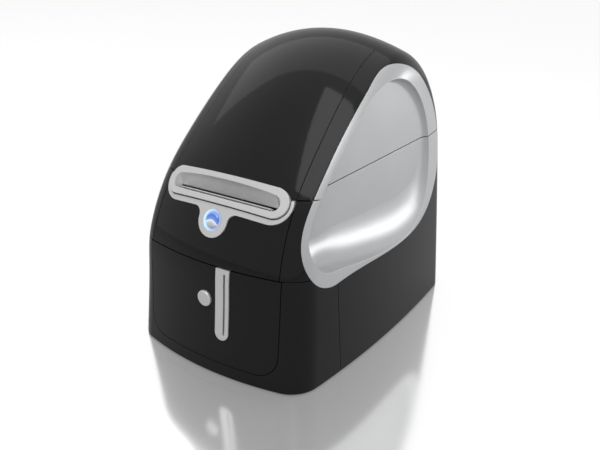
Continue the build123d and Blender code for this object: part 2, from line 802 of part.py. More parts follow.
with BuildPart() as main_board:
    add(block(-BOARD_HALF, BOARD_HALF, BOARD_Y, BOARD_Y + BOARD_T, 8, 61))
    with Locations((20, BOARD_Y + BOARD_T + 2, 34)):
        Box(14, 4, 14)
    with Locations(*[(x, BOARD_Y + BOARD_T + 1.5, z) for x, z in ((-14, 48), (4, 48), (30, 52))]):
        Box(9, 3, 6)
main_board.part.label = "main circuit board"
export_step(main_board.part, "parts/main_board.step")

with BuildPart() as power_jack:
    add(inlet_block(INLET_REAR))
    with BuildSketch(Plane.XZ.offset(-INLET_REAR)):
        with Locations((INLET_X, PORT_Z)):
            Circle(INLET_BORE_R)
            Circle(1, mode=Mode.SUBTRACT)
    extrude(amount=PORT_DEPTH, mode=Mode.SUBTRACT)
power_jack.part.label = "power inlet"
export_step(power_jack.part, "parts/power_jack.step")

with BuildPart() as data_socket:
    add(data_block(DATA_REAR))
    with BuildSketch(Plane.XZ.offset(-DATA_REAR)):
        with Locations((0, PORT_Z)):
            Rectangle(8.4, 7.6)
            Rectangle(5.6, 3.2, mode=Mode.SUBTRACT)
    extrude(amount=PORT_DEPTH, mode=Mode.SUBTRACT)
data_socket.part.label = "data socket"
export_step(data_socket.part, "parts/data_socket.step")

# Label roll and its trough
trough_r = WELL_R + WELL_WALL
with BuildPart() as roll_well:
    with BuildSketch(Plane.YZ.offset(-WELL_HALF)):
        with Locations((SPOOL_Y, SPOOL_Z)):
            Circle(trough_r)
            Circle(WELL_R, mode=Mode.SUBTRACT)
        with Locations((SPOOL_Y, SPOOL_Z - WELL_SIDE_DROP + WELL_R)):
            Rectangle(3 * WELL_R, 2 * WELL_R, mode=Mode.SUBTRACT)
    extrude(amount=2 * WELL_HALF)
    for x in (-WELL_HALF, WELL_HALF - WELL_WALL):
        with BuildSketch(Plane.YZ.offset(x)):
            with Locations((SPOOL_Y, SPOOL_Z)):
                Circle(trough_r)
            with Locations((SPOOL_Y, SPOOL_Z + JOURNAL_R + WELL_R)):
                Rectangle(3 * WELL_R, 2 * WELL_R, mode=Mode.SUBTRACT)
            with Locations((SPOOL_Y, SPOOL_Z)):
                Circle(JOURNAL_R + RUN, mode=Mode.SUBTRACT)
            with Locations((SPOOL_Y, SPOOL_Z + 10)):
                Rectangle(2 * (JOURNAL_R + RUN), 20, mode=Mode.SUBTRACT)
        extrude(amount=WELL_WALL)
    add(block(-WELL_HALF, WELL_HALF, SPOOL_Y - 12, SPOOL_Y + 12, deck_top, SPOOL_Z - WELL_R))
    well_hollow = rod(WELL_R, -WELL_HALF + WELL_WALL, WELL_HALF - WELL_WALL, SPOOL_Y, SPOOL_Z)
    add(well_hollow, mode=Mode.SUBTRACT)
roll_well.part.label = "roll trough"
export_step(roll_well.part, "parts/roll_well.step")

with BuildPart() as spool_core:
    journal_half = WELL_HALF + WELL_WALL
    core_half = ROLL_W / 2 + SPOOL_END
    add(rod(SPOOL_R, -core_half, core_half, SPOOL_Y, SPOOL_Z))
    add(rod(JOURNAL_R, -journal_half, journal_half, SPOOL_Y, SPOOL_Z))
    add(rod(JOURNAL_R - 1.6, -journal_half, journal_half, SPOOL_Y, SPOOL_Z), mode=Mode.SUBTRACT)
spool_core.part.label = "spool core"
export_step(spool_core.part, "parts/spool_core.step")

with BuildPart() as spool_guide_right:
    with BuildSketch(Plane.YZ.offset(ROLL_W / 2)):
        with Locations((SPOOL_Y, SPOOL_Z)):
            Circle(FLANGE_R)
            Circle(SPOOL_R, mode=Mode.SUBTRACT)
            with PolarLocations((FLANGE_R + SPOOL_R + 1) / 2, 3):
                Circle(5.5, mode=Mode.SUBTRACT)
    extrude(amount=FLANGE_T)
spool_guide_right.part.label = "spool flange, right"
export_step(spool_guide_right.part, "parts/spool_guide_right.step")

with BuildPart() as spool_guide_left:
    add(mirrored(spool_guide_right.part))
spool_guide_left.part.label = "spool flange, left"
export_step(spool_guide_left.part, "parts/spool_guide_left.step")

with BuildPart() as roll_core:
    add(rod(SPOOL_R + CORE_T, -ROLL_W / 2, ROLL_W / 2, SPOOL_Y, SPOOL_Z))
    add(rod(SPOOL_R, -ROLL_W / 2, ROLL_W / 2, SPOOL_Y, SPOOL_Z), mode=Mode.SUBTRACT)
roll_core.part.label = "roll core"
export_step(roll_core.part, "parts/roll_core.step")

with BuildPart() as label_roll:
    add(rod(ROLL_R, -ROLL_W / 2, ROLL_W / 2, SPOOL_Y, SPOOL_Z))
    add(rod(SPOOL_R + CORE_T, -ROLL_W / 2, ROLL_W / 2, SPOOL_Y, SPOOL_Z), mode=Mode.SUBTRACT)
label_roll.part.label = "label roll"
export_step(label_roll.part, "parts/label_roll.step")

# Label print mechanism
reach_pi = PLATEN_GEAR_R + IDLER_R + GEAR_GAP
reach_im = IDLER_R + PINION_R + GEAR_GAP
span_pm = hypot(MOTOR_Y - PLATEN_Y, MOTOR_Z - PLATEN_Z)
along = (reach_pi ** 2 - reach_im ** 2 + span_pm ** 2) / (2 * span_pm)
aside = (reach_pi ** 2 - along ** 2) ** 0.5
unit_y = (MOTOR_Y - PLATEN_Y) / span_pm
unit_z = (MOTOR_Z - PLATEN_Z) / span_pm
idler_y = PLATEN_Y + along * unit_y - aside * unit_z
idler_z = PLATEN_Z + along * unit_z + aside * unit_y
frame_out = FRAME_IN + FRAME_T
gear_x = -frame_out - GEAR_W - 0.6
pin_left = gear_x - PIN_END
roller_half = FRAME_IN - 2
frame_top = [(PLATEN_Y + y, PLATEN_Z + z) for y, z in FRAME_TOP]
frame_outline = [(PLATEN_Y - 6, deck_top)] + frame_top + [(PLATEN_Y + 38, deck_top)]

with BuildPart() as print_frame:
    for x in (-frame_out, FRAME_IN):
        with BuildSketch(Plane.YZ.offset(x)):
            with BuildLine():
                Polyline(*frame_outline, close=True)
            make_face()
            with Locations((PLATEN_Y, PLATEN_Z)):
                Circle(BUSH_R, mode=Mode.SUBTRACT)
            with Locations((PIVOT_Y, PIVOT_Z)):
                Circle(PIVOT_R, mode=Mode.SUBTRACT)
            with Locations((RAIL_Y, RAIL_Z)):
                Circle(RAIL_R, mode=Mode.SUBTRACT)
        extrude(amount=FRAME_T)
    with Locations((0, RAIL_Y + 3, deck_top + 4)):
        Box(2 * FRAME_IN, 3, 8)
    add(rod(MOTOR_SHAFT_R + 2, -frame_out, -FRAME_IN, MOTOR_Y, MOTOR_Z), mode=Mode.SUBTRACT)
    add(rod(IDLER_PIN_R, -frame_out, -FRAME_IN, idler_y, idler_z), mode=Mode.SUBTRACT)
    add(rod(LEVER_PIN_R, FRAME_IN, frame_out, LEVER_Y, LEVER_Z), mode=Mode.SUBTRACT)
print_frame.part.label = "print frame"
export_step(print_frame.part, "parts/print_frame.step")

with BuildPart() as platen_bushes:
    for x in (-frame_out, FRAME_IN):
        add(rod(BUSH_R, x, x + FRAME_T, PLATEN_Y, PLATEN_Z))
    add(rod(PLATEN_SHAFT_R + RUN, -OUT_X, OUT_X, PLATEN_Y, PLATEN_Z), mode=Mode.SUBTRACT)
platen_bushes.part.label = "platen bushes"
export_step(platen_bushes.part, "parts/platen_bushes.step")

with BuildPart() as platen_shaft:
    add(rod(PLATEN_SHAFT_R, pin_left, frame_out + 1.5, PLATEN_Y, PLATEN_Z))
platen_shaft.part.label = "platen shaft"
export_step(platen_shaft.part, "parts/platen_shaft.step")

with BuildPart() as platen_roller:
    add(rod(PLATEN_R, -roller_half, roller_half, PLATEN_Y, PLATEN_Z))
    add(rod(PLATEN_SHAFT_R, -roller_half, roller_half, PLATEN_Y, PLATEN_Z), mode=Mode.SUBTRACT)
platen_roller.part.label = "platen roller"
export_step(platen_roller.part, "parts/platen_roller.step")

with BuildPart() as platen_gear:
    add(toothed_wheel(PLATEN_GEAR_R, PLATEN_TEETH, PLATEN_SHAFT_R, PLATEN_Y, PLATEN_Z))
platen_gear.part.label = "platen gear"
export_step(platen_gear.part, "parts/platen_gear.step")

with BuildPart() as idler_gear:
    add(toothed_wheel(IDLER_R, IDLER_TEETH, IDLER_PIN_R + RUN, idler_y, idler_z))
idler_gear.part.label = "idler gear"
export_step(idler_gear.part, "parts/idler_gear.step")

with BuildPart() as idler_pin:
    add(rod(IDLER_PIN_R, pin_left, -FRAME_IN, idler_y, idler_z))
idler_pin.part.label = "idler pin"
export_step(idler_pin.part, "parts/idler_pin.step")

with BuildPart() as motor_pinion:
    add(toothed_wheel(PINION_R, PINION_TEETH, MOTOR_SHAFT_R, MOTOR_Y, MOTOR_Z))
motor_pinion.part.label = "motor pinion"
export_step(motor_pinion.part, "parts/motor_pinion.step")

with BuildPart() as motor_shaft:
    add(rod(MOTOR_SHAFT_R, pin_left, -FRAME_IN + 2, MOTOR_Y, MOTOR_Z))
motor_shaft.part.label = "motor shaft"
export_step(motor_shaft.part, "parts/motor_shaft.step")

with BuildPart() as feed_motor:
    add(rod(MOTOR_R, -FRAME_IN, -FRAME_IN + MOTOR_L, MOTOR_Y, MOTOR_Z))
    add(rod(MOTOR_SHAFT_R + RUN, -FRAME_IN, -FRAME_IN + 2.5, MOTOR_Y, MOTOR_Z), mode=Mode.SUBTRACT)
    seat_z = MOTOR_Z - MOTOR_R + 0.5
    motor_end = -FRAME_IN + MOTOR_L - 1
    add(block(-FRAME_IN + 2, motor_end, MOTOR_Y - 6, MOTOR_Y + 6, deck_top, seat_z))
feed_motor.part.label = "feed motor"
export_step(feed_motor.part, "parts/feed_motor.step")

with BuildPart() as head_shaft:
    add(rod(PIVOT_R, -frame_out, frame_out, PIVOT_Y, PIVOT_Z))
head_shaft.part.label = "head shaft"
export_step(head_shaft.part, "parts/head_shaft.step")

head_under = PLATEN_Z + PLATEN_R + HEAD_GAP
head_top = head_under + HEAD_T
with BuildPart() as head_bracket:
    add(block(-roller_half, roller_half, PLATEN_Y - 5, PLATEN_Y + 16, head_top, head_top + 2))
    for x in (-roller_half - 1, roller_half + 1 - HEAD_SIDE_T):
        with BuildSketch(Plane.YZ.offset(x)):
            with Locations((PIVOT_Y, PIVOT_Z)):
                Circle(PIVOT_EYE_R)
            with BuildLine():
                Polyline(
                    (PIVOT_Y, PIVOT_Z + PIVOT_EYE_R),
                    (PLATEN_Y - 2, head_top + 3),
                    (PLATEN_Y - 2, head_top),
                    (PIVOT_Y, PIVOT_Z - PIVOT_EYE_R),
                    close=True,
                )
            make_face()
        extrude(amount=HEAD_SIDE_T)
    add(rod(PIVOT_R + RUN, -OUT_X, OUT_X, PIVOT_Y, PIVOT_Z), mode=Mode.SUBTRACT)
head_bracket.part.label = "print head bracket"
export_step(head_bracket.part, "parts/head_bracket.step")

with BuildPart() as thermal_head:
    add(block(2 - roller_half, roller_half - 2, PLATEN_Y - 4, PLATEN_Y + 8, head_under, head_top))
thermal_head.part.label = "thermal print head"
export_step(thermal_head.part, "parts/thermal_head.step")

with BuildPart() as lever_pin:
    add(rod(LEVER_PIN_R, FRAME_IN, frame_out + LEVER_T + 2, LEVER_Y, LEVER_Z))
lever_pin.part.label = "lever pin"
export_step(lever_pin.part, "parts/lever_pin.step")

with BuildPart() as release_lever:
    with BuildSketch(Plane.YZ.offset(frame_out + 0.8)):
        with Locations((LEVER_Y, LEVER_Z)):
            Circle(5)
        with BuildLine():
            Polyline(
                (LEVER_Y - 4, LEVER_Z + 2),
                (LEVER_Y - 2, LEVER_Z + LEVER_H),
                (LEVER_Y + 4, LEVER_Z + LEVER_H),
                (LEVER_Y + 5, LEVER_Z),
                close=True,
            )
        make_face()
    extrude(amount=LEVER_T)
    with Locations((frame_out + 0.3, LEVER_Y + 1, LEVER_Z + LEVER_H)):
        Box(LEVER_T + 4, 8, 4)
    add(rod(LEVER_PIN_R + RUN, 0, OUT_X, LEVER_Y, LEVER_Z), mode=Mode.SUBTRACT)
release_lever.part.label = "release lever"
export_step(release_lever.part, "parts/release_lever.step")

with BuildPart() as guide_rail:
    add(rod(RAIL_R, -frame_out, frame_out, RAIL_Y, RAIL_Z))
guide_rail.part.label = "guide rail"
export_step(guide_rail.part, "parts/guide_rail.step")

with BuildPart() as label_guide:
    add(block(19, 25, RAIL_Y - 5, RAIL_Y + 5, RAIL_Z - 4, RAIL_Z + 4))
    add(block(19, 21, RAIL_Y - 10, RAIL_Y + 8, RAIL_Z + 2, RAIL_Z + 13))
    add(rod(RAIL_R + RUN, 0, OUT_X, RAIL_Y, RAIL_Z), mode=Mode.SUBTRACT)
label_guide.part.label = "label guide"
export_step(label_guide.part, "parts/label_guide.step")

# Tape tray
tray_inside = TRAY_FLOOR + TRAY_WALL
cassette_top = tray_inside + CASSETTE_H
with BuildPart() as tray_front_panel:
    add(shell)
    add(tray_outline(0, -OUT_Y, -30), mode=Mode.INTERSECT)
    with BuildSketch(Plane.XZ.offset(OUT_Y)):
        with Locations((BAR_X, 50)):
            Rectangle(BAR_W, 100)
        with Locations((BAR_X, BAR_BOTTOM - 10)):
            Rectangle(BAR_W, 20 + BAR_W, mode=Mode.SUBTRACT)
        with Locations((BAR_X, BAR_BOTTOM + BAR_W / 2)):
            Circle(BAR_W / 2)
    extrude(amount=-100, mode=Mode.SUBTRACT)
    with BuildSketch(Plane.XZ.offset(OUT_Y)):
        with Locations((0, TRAY_BUTTON_Z)):
            Circle(TRAY_BUTTON_R + CLEAR)
    extrude(amount=-100, mode=Mode.SUBTRACT)
tray_front_panel.part.label = "tray front panel"
export_step(tray_front_panel.part, "parts/tray_front_panel.step")

with BuildPart() as tape_exit_bar:
    with BuildSketch(Plane.XZ.offset(OUT_Y)):
        with Locations((BAR_X, (BAR_BOTTOM + BAR_W / 2 + LOWER_SEAM - SEAM) / 2)):
            Rectangle(BAR_W, LOWER_SEAM - SEAM - BAR_BOTTOM - BAR_W / 2)
        with Locations((BAR_X, BAR_BOTTOM + BAR_W / 2)):
            Circle(BAR_W / 2)
    extrude(amount=-80)
    add(proud, mode=Mode.INTERSECT)
    add(cavity, mode=Mode.SUBTRACT)
    with BuildSketch(Plane.XZ.offset(OUT_Y)):
        with Locations((TAPE_SLOT_X, 45.5)):
            Rectangle(1.3, 37)
    extrude(amount=-80, mode=Mode.SUBTRACT)
tape_exit_bar.part.label = "tape exit bar"
export_step(tape_exit_bar.part, "parts/tape_exit_bar.step")

with BuildPart() as tray_body:
    add(rounded_trough(TRAY_BODY_HALF, -OUT_Y, TRAY_REAR, TRAY_FLOOR, TRAY_TOP, TRAY_BODY_R))
    add(cavity, mode=Mode.INTERSECT)
    inner = TRAY_BODY_HALF - TRAY_WALL
    inner_r = TRAY_BODY_R - TRAY_WALL
    tray_rear_inside = TRAY_REAR - TRAY_WALL
    well = rounded_trough(inner, WELL_FRONT, tray_rear_inside, tray_inside, TRAY_TOP + 1, inner_r)
    add(well, mode=Mode.SUBTRACT)
    for side in (-1, 1):
        runner_x = side * (TRAY_BODY_HALF + RUNNER_W / 2)
        runner_front = BAY_FRONT
        runner_l = TRAY_REAR - runner_front
        with Locations((runner_x, runner_front + runner_l / 2, RUNNER_Z)):
            Box(RUNNER_W, runner_l, RUNNER_H)
    tape_way = block(TAPE_SLOT_X - 2, TAPE_SLOT_X + 2, -OUT_Y, WELL_FRONT + 2, 26, TRAY_TOP + 1)
    add(tape_way, mode=Mode.SUBTRACT)
    with BuildSketch(Plane.XY.offset(TRAY_FLOOR)):
        with Locations((-REEL_X, REEL_Y), (REEL_X, REEL_Y), (REEL_X, FEED_Y)):
            Circle(SPINDLE_R + RUN)
    extrude(amount=TRAY_WALL, mode=Mode.SUBTRACT)
    with BuildSketch(Plane.XZ.offset(OUT_Y)):
        with Locations((0, TRAY_BUTTON_Z)):
            Circle(TRAY_BUTTON_R + CLEAR)
    extrude(amount=-OUT_Y - WELL_FRONT - 2, mode=Mode.SUBTRACT)
tray_body.part.label = "tray body"
export_step(tray_body.part, "parts/tray_body.step")

front_slope = FRONT_PROFILE[1][0] / FRONT_PROFILE[1][1]
tray_button_y = FRONT_Y + front_slope * TRAY_BUTTON_Z
with BuildPart() as tray_button:
    with BuildSketch(Plane.XZ.offset(TRAY_BUTTON_PROUD - tray_button_y)):
        with Locations((0, TRAY_BUTTON_Z)):
            Circle(TRAY_BUTTON_R)
    extrude(amount=-TRAY_BUTTON_L)
    rim = tray_button.edges().group_by(Axis.Y)[0]
    fillet(rim, 1)
tray_button.part.label = "tray button"
export_step(tray_button.part, "parts/tray_button.step")

with BuildPart() as tape_cassette:
    add(block(-CASSETTE_HALF, CASSETTE_HALF, -62, -10, tray_inside, cassette_top))
    upright = tape_cassette.edges().filter_by(Axis.Z)
    fillet(upright, 5)
    with BuildSketch(Plane.XY.offset(tray_inside)):
        with Locations((-REEL_X, REEL_Y), (REEL_X, REEL_Y)):
            Circle(REEL_R + 2)
        with Locations((14, FEED_Y + 9)):
            Rectangle(22, 8)
    extrude(amount=CASSETTE_H, mode=Mode.SUBTRACT)
    with BuildSketch(Plane.XY.offset(cassette_top)):
        with Locations((0, REEL_Y + 6)):
            RectangleRounded(44, 24, 3)
        with Locations((-REEL_X, REEL_Y), (REEL_X, REEL_Y)):
            Circle(REEL_R + 2.5, mode=Mode.SUBTRACT)
    extrude(amount=-1, mode=Mode.SUBTRACT)
tape_cassette.part.label = "tape cassette"
export_step(tape_cassette.part, "parts/tape_cassette.step")


def spindle(x, y, radius, top):
    with BuildPart() as solid:
        with BuildSketch(Plane.XY.offset(TRAY_FLOOR + 0.6)):
            with Locations((x, y)):
                Circle(SPINDLE_R)
        extrude(amount=TRAY_WALL)
        with BuildSketch(Plane.XY.offset(tray_inside + CLEAR)):
            with Locations((x, y)):
                Circle(radius)
                with PolarLocations(radius, 6):
                    Rectangle(1.2, 1)
        extrude(amount=top - tray_inside - CLEAR)
    return solid.part


with BuildPart() as supply_spindle:
    add(spindle(-REEL_X, REEL_Y, REEL_R, 34))
supply_spindle.part.label = "tape supply spindle"
export_step(supply_spindle.part, "parts/supply_spindle.step")

with BuildPart() as takeup_spindle:
    add(spindle(REEL_X, REEL_Y, REEL_R, 34))
takeup_spindle.part.label = "ribbon take-up spindle"
export_step(takeup_spindle.part, "parts/takeup_spindle.step")

with BuildPart() as tape_feed_roller:
    add(spindle(REEL_X, FEED_Y, FEED_R, 44))
tape_feed_roller.part.label = "tape feed roller"
export_step(tape_feed_roller.part, "parts/tape_feed_roller.step")

with BuildPart() as tape_head:
    add(block(9, 12, FEED_Y - 4, FEED_Y + 7, tray_inside, 46))
tape_head.part.label = "tape print head"
export_step(tape_head.part, "parts/tape_head.step")

with BuildPart() as tray_latch:
    add(block(-6, 6, TRAY_REAR + 2.5, BAY_REAR - BAY_WALL, 16, 19))
    add(block(-6, 6, 24, BAY_REAR - BAY_WALL, 8, 27))
tray_latch.part.label = "tray stop"
export_step(tray_latch.part, "parts/tray_latch.step")
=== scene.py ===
import json
from math import cos, radians, sin, tau

import bmesh
import bpy
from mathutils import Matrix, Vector


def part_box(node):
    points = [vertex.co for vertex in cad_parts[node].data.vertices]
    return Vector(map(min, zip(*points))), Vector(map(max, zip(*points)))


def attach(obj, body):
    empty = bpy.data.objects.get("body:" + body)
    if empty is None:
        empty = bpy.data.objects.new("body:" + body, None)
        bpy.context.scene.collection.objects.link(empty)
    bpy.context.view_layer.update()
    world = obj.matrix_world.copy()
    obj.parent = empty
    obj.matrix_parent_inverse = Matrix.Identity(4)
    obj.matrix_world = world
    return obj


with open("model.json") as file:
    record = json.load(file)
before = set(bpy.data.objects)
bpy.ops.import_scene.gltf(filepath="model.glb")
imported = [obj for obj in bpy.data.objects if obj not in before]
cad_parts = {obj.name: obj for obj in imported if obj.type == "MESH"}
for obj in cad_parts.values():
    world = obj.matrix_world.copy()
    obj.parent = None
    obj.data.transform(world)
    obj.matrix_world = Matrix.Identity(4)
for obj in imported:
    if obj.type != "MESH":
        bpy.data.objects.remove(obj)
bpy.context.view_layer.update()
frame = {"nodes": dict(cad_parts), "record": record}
nodes = frame["nodes"]


def middle(box):
    low, high = (Vector(corner) for corner in box)
    return (low + high) / 2


# Lengths are in metres, lamp powers in watts and colours linear

# Camera, fitted to the photograph's base outline, silhouette and seams
CAMERA_AT = Vector((0.232850, -0.327565, 0.224619))
CAMERA_TARGET = Vector((-0.000124, -0.000088, 0.059116))
CAMERA_NEAR = 0.01
LENS_MM = 38.862
SENSOR_MM = 36.0

# Soft lamps: the top one is mirrored high on the cover's centre panel, the key lights the front,
# and the side card lights the silver side panel from the rear
LAMPS = {
    "top": {"at": (-0.9, 0.46, 1.35), "aim": (-0.9, 0.46, 0), "size": (2.6, 0.95), "power": 9},
    "key": {"at": (0.3, -0.5, 1.25), "aim": (0.3, -0.5, 0), "size": (0.9, 0.75), "power": 7.5},
    "side_card": {"at": (0.75, 0.65, 0.23), "aim": (0.05, 0, 0.1), "size": (0.7, 0.34), "power": 3.2},
}

# World's brightness, as soft light and as the camera and shiny things see it
WORLD_SOFT = 0.38
WORLD_SEEN = 1.0

# Floor, with the share of it that mirrors the object
FLOOR_SIZE = 12
FLOOR_COLOUR = (0.6, 0.6, 0.6, 1)
FLOOR_ROUGHNESS = 0.6
FLOOR_MIRROR = 0.7
MIRROR_COLOUR = (0.97, 0.97, 0.97, 1)
MIRROR_ROUGHNESS = 0.13
# Light added to the floor as the camera and as shiny things see it, to keep it white
FLOOR_LIFT = 0.55
FLOOR_SHINE = 0.2

# Colours of the moulded pieces
BLACK = (0.0045, 0.0045, 0.005)
INNER_BLACK = (0.02, 0.02, 0.022)
RUBBER_BLACK = (0.02, 0.02, 0.02)
# Painted shade: the side panels' silver is darker than the trim's, for the shade that falls on that side
SHADED_SIDE_SILVER = (0.44, 0.445, 0.455)
TRIM_SILVER = (0.6, 0.6, 0.605)
PLASTIC_GREY = (0.22, 0.225, 0.235)
GEAR_WHITE = (0.78, 0.77, 0.72)
LEVER_BLUE = (0.04, 0.14, 0.5)
# Colours of metals and cardboard
STEEL = (0.56, 0.56, 0.57)
BRASS = (0.75, 0.55, 0.22)
ALUMINIUM = (0.7, 0.71, 0.73)
CARDBOARD = (0.42, 0.3, 0.18)

# Edges are rounded this far by the shader
EDGE = 0.0004
EDGE_SAMPLES = 6
# Colour clouds, fine grain and clear coat of the finishes
CLOUD_SCALE = 35
NOISE_LOW = 0.35
NOISE_HIGH = 0.65
ROUGHNESS_SPREAD = 0.12
GRAIN_DEPTH = 0.0002
COAT_ROUGHNESS = 0.06

# Feed button, with its lit ring and clear cap, whose colour bands carry painted highlights
BUTTON_AT = middle(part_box("feed_button"))
BUTTON_TILT = radians(24)
RING_SPAN = 0.02
# The ring glows with its own light; its brighter left side is a painted highlight
RING_GLOW_AND_HIGHLIGHT_STOPS = [
    (0.3, (0.36, 0.42, 0.6, 1)),
    (0.8, (0.6, 0.84, 1.0, 1)),
]
CAP_SPAN = 0.01
CAP_HIGHLIGHT_BOW = 1.1
# Painted highlight: the bright bow at 0.5 and the lighter blue at the cap's top edge
CAP_STOPS_WITH_HIGHLIGHT = [
    (0.0, (0.25, 0.27, 0.36, 1)),
    (0.38, (0.5, 0.54, 0.6, 1)),
    (0.5, (0.85, 0.93, 0.97, 1)),
    (0.58, (0.12, 0.3, 0.8, 1)),
    (0.8, (0.05, 0.14, 0.6, 1)),
    (0.98, (0.2, 0.4, 0.85, 1)),
]

# Label roll, with the edges of its turns
SPOOL_AT = middle(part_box("label_roll"))
TURNS_SCALE = 420
TURNS_WOBBLE = 0.6
TURNS_STOPS = [
    (0.1, (0.7, 0.69, 0.64, 1)),
    (0.5, (0.86, 0.86, 0.83, 1)),
]

# Circuit boards
BOARD_DARK = (0.012, 0.11, 0.045, 1)
BOARD_LIGHT = (0.02, 0.17, 0.075, 1)
TRACK_COLOUR = (0.05, 0.3, 0.12, 1)
TRACK_SCALE = 160
TRACK_WIDTH = 0.03

# Label slot: its frame on the sloping front, and the bar in it, up and out from that frame
EXIT_AT = Vector((0, -0.0736, 0.105))
EXIT_TILT = radians(35)
BAR_UP = -0.00355
BAR_OUT = -0.0046
BAR_HALF = 0.0335
BAR_HEIGHT = 0.0013
BAR_DEPTH = 0.005
BAR_BOW = 0.001
BAR_STEPS = 32
BAR_SIDES = 16
BAR_BODY = "cover"


def make_camera():
    data = bpy.data.cameras.new("photo_camera")
    data.lens = LENS_MM
    data.sensor_width = SENSOR_MM
    data.sensor_fit = "HORIZONTAL"
    data.clip_start = CAMERA_NEAR
    camera = bpy.data.objects.new("photo_camera", data)
    camera.location = CAMERA_AT
    camera.rotation_euler = (CAMERA_TARGET - CAMERA_AT).to_track_quat("-Z", "Y").to_euler()
    bpy.context.scene.collection.objects.link(camera)
    bpy.context.scene.camera = camera


def make_lamp(name, at, aim, size, power):
    data = bpy.data.lights.new(name, "AREA")
    data.shape = "RECTANGLE"
    data.size, data.size_y = size
    data.energy = power
    lamp = bpy.data.objects.new(name, data)
    lamp.location = at
    lamp.rotation_euler = (Vector(aim) - Vector(at)).to_track_quat("-Z", "Y").to_euler()
    lamp.visible_camera = False
    bpy.context.scene.collection.objects.link(lamp)


def fill(tree, node, sockets):
    """Sets each socket of a node, or links it where the value is another node's output."""
    for name, value in sockets.items():
        if isinstance(value, bpy.types.NodeSocket):
            tree.links.new(value, node.inputs[name])
        else:
            node.inputs[name].default_value = value


def add_node(tree, kind, sockets, **settings):
    """A shader node with its sockets filled, given as its outputs."""
    node = tree.nodes.new("ShaderNode" + kind)
    for name, value in settings.items():
        setattr(node, name, value)
    fill(tree, node, sockets)
    return node.outputs


def calculate(tree, operation, *values):
    return add_node(tree, "Math", dict(enumerate(values)), operation=operation)["Value"]


def new_material(name):
    material = bpy.data.materials.new(name)
    material.use_nodes = True
    tree = material.node_tree
    return material, tree, tree.nodes["Principled BSDF"]


def object_point(tree, vector_type="POINT", **sockets):
    """The shaded point in the object's own space, moved, turned or scaled."""
    sockets["Vector"] = add_node(tree, "TexCoord", {})["Object"]
    return add_node(tree, "Mapping", sockets, vector_type=vector_type)["Vector"]


def noise(tree, scale, detail, stretch=(1, 1, 1)):
    sockets = {"Vector": object_point(tree, Scale=stretch), "Scale": scale, "Detail": detail}
    return add_node(tree, "TexNoise", sockets)["Fac"]


def colour_band(tree, source, stops):
    band = tree.nodes.new("ShaderNodeValToRGB")
    elements = band.color_ramp.elements
    while len(elements) < len(stops):
        elements.new(0.5)
    for element, (position, colour) in zip(elements, stops):
        element.position = position
        element.color = colour
    fill(tree, band, {"Fac": source})
    return band.outputs["Color"]


def grey(value):
    return (value, value, value, 1)


def clouds(tree, colour, vary):
    """A colour that drifts a little darker and lighter."""
    dark = (*(part * (1 - vary) for part in colour), 1)
    light = (*(min(1, part * (1 + vary)) for part in colour), 1)
    return colour_band(tree, noise(tree, CLOUD_SCALE, detail=5), [(NOISE_LOW, dark), (NOISE_HIGH, light)])


def surface(
    name, tint, roughness,
    vary=0.06, grain=1800, bump=0.02, metallic=0.0, coat=0.0, stretch=(1, 1, 1),
):
    """A finish with a fine grain and soft edges; its tint is a colour, or a function that draws one."""
    material, tree, shader = new_material(name)
    fine = noise(tree, grain, detail=3, stretch=stretch)
    smooth = grey(roughness * (1 - ROUGHNESS_SPREAD))
    rough = grey(min(1, roughness * (1 + ROUGHNESS_SPREAD)))
    edge = add_node(tree, "Bevel", {"Radius": EDGE}, samples=EDGE_SAMPLES)["Normal"]
    relief = {"Strength": bump, "Distance": GRAIN_DEPTH, "Height": fine, "Normal": edge}
    fill(tree, shader, {
        "Base Color": tint(tree) if callable(tint) else clouds(tree, tint, vary),
        "Roughness": colour_band(tree, fine, [(NOISE_LOW, smooth), (NOISE_HIGH, rough)]),
        "Normal": add_node(tree, "Bump", relief)["Normal"],
        "Metallic": metallic,
    })
    if coat:
        fill(tree, shader, {"Coat Weight": coat, "Coat Roughness": COAT_ROUGHNESS, "Coat Normal": edge})
    return material


def gloss_black():
    """Polished black moulding: the clear coat carries nearly all of its shine."""
    material = surface("case_black", BLACK, 0.4, grain=2600, bump=0.01, coat=0.26)
    shader = material.node_tree.nodes["Principled BSDF"]
    shader.inputs["Specular IOR Level"].default_value = 0.05
    return material


def on_button(tree, span):
    """How far right and up a point lies on the tilted button, from -0.5 to 0.5 over the span."""
    turn = (-BUTTON_TILT, 0, 0)
    scale = (span, span, span)
    point = object_point(tree, "TEXTURE", Location=BUTTON_AT, Rotation=turn, Scale=scale)
    split = add_node(tree, "SeparateXYZ", {"Vector": point})
    return split["X"], split["Z"]


def light_ring():
    """The lit ring glows with its own light, with a painted highlight that makes its left side brightest.
    """
    material, tree, shader = new_material("light_ring")
    side, _ = on_button(tree, RING_SPAN)
    # Painted highlight: the colour and glow grow brighter towards the ring's left side
    glow_and_highlight = colour_band(tree, calculate(tree, "SUBTRACT", 0.5, side), RING_GLOW_AND_HIGHLIGHT_STOPS)
    fill(tree, shader, {
        "Base Color": glow_and_highlight,
        "Emission Color": glow_and_highlight,
        "Emission Strength": 0.42,
        "Roughness": 0.3,
    })
    return material


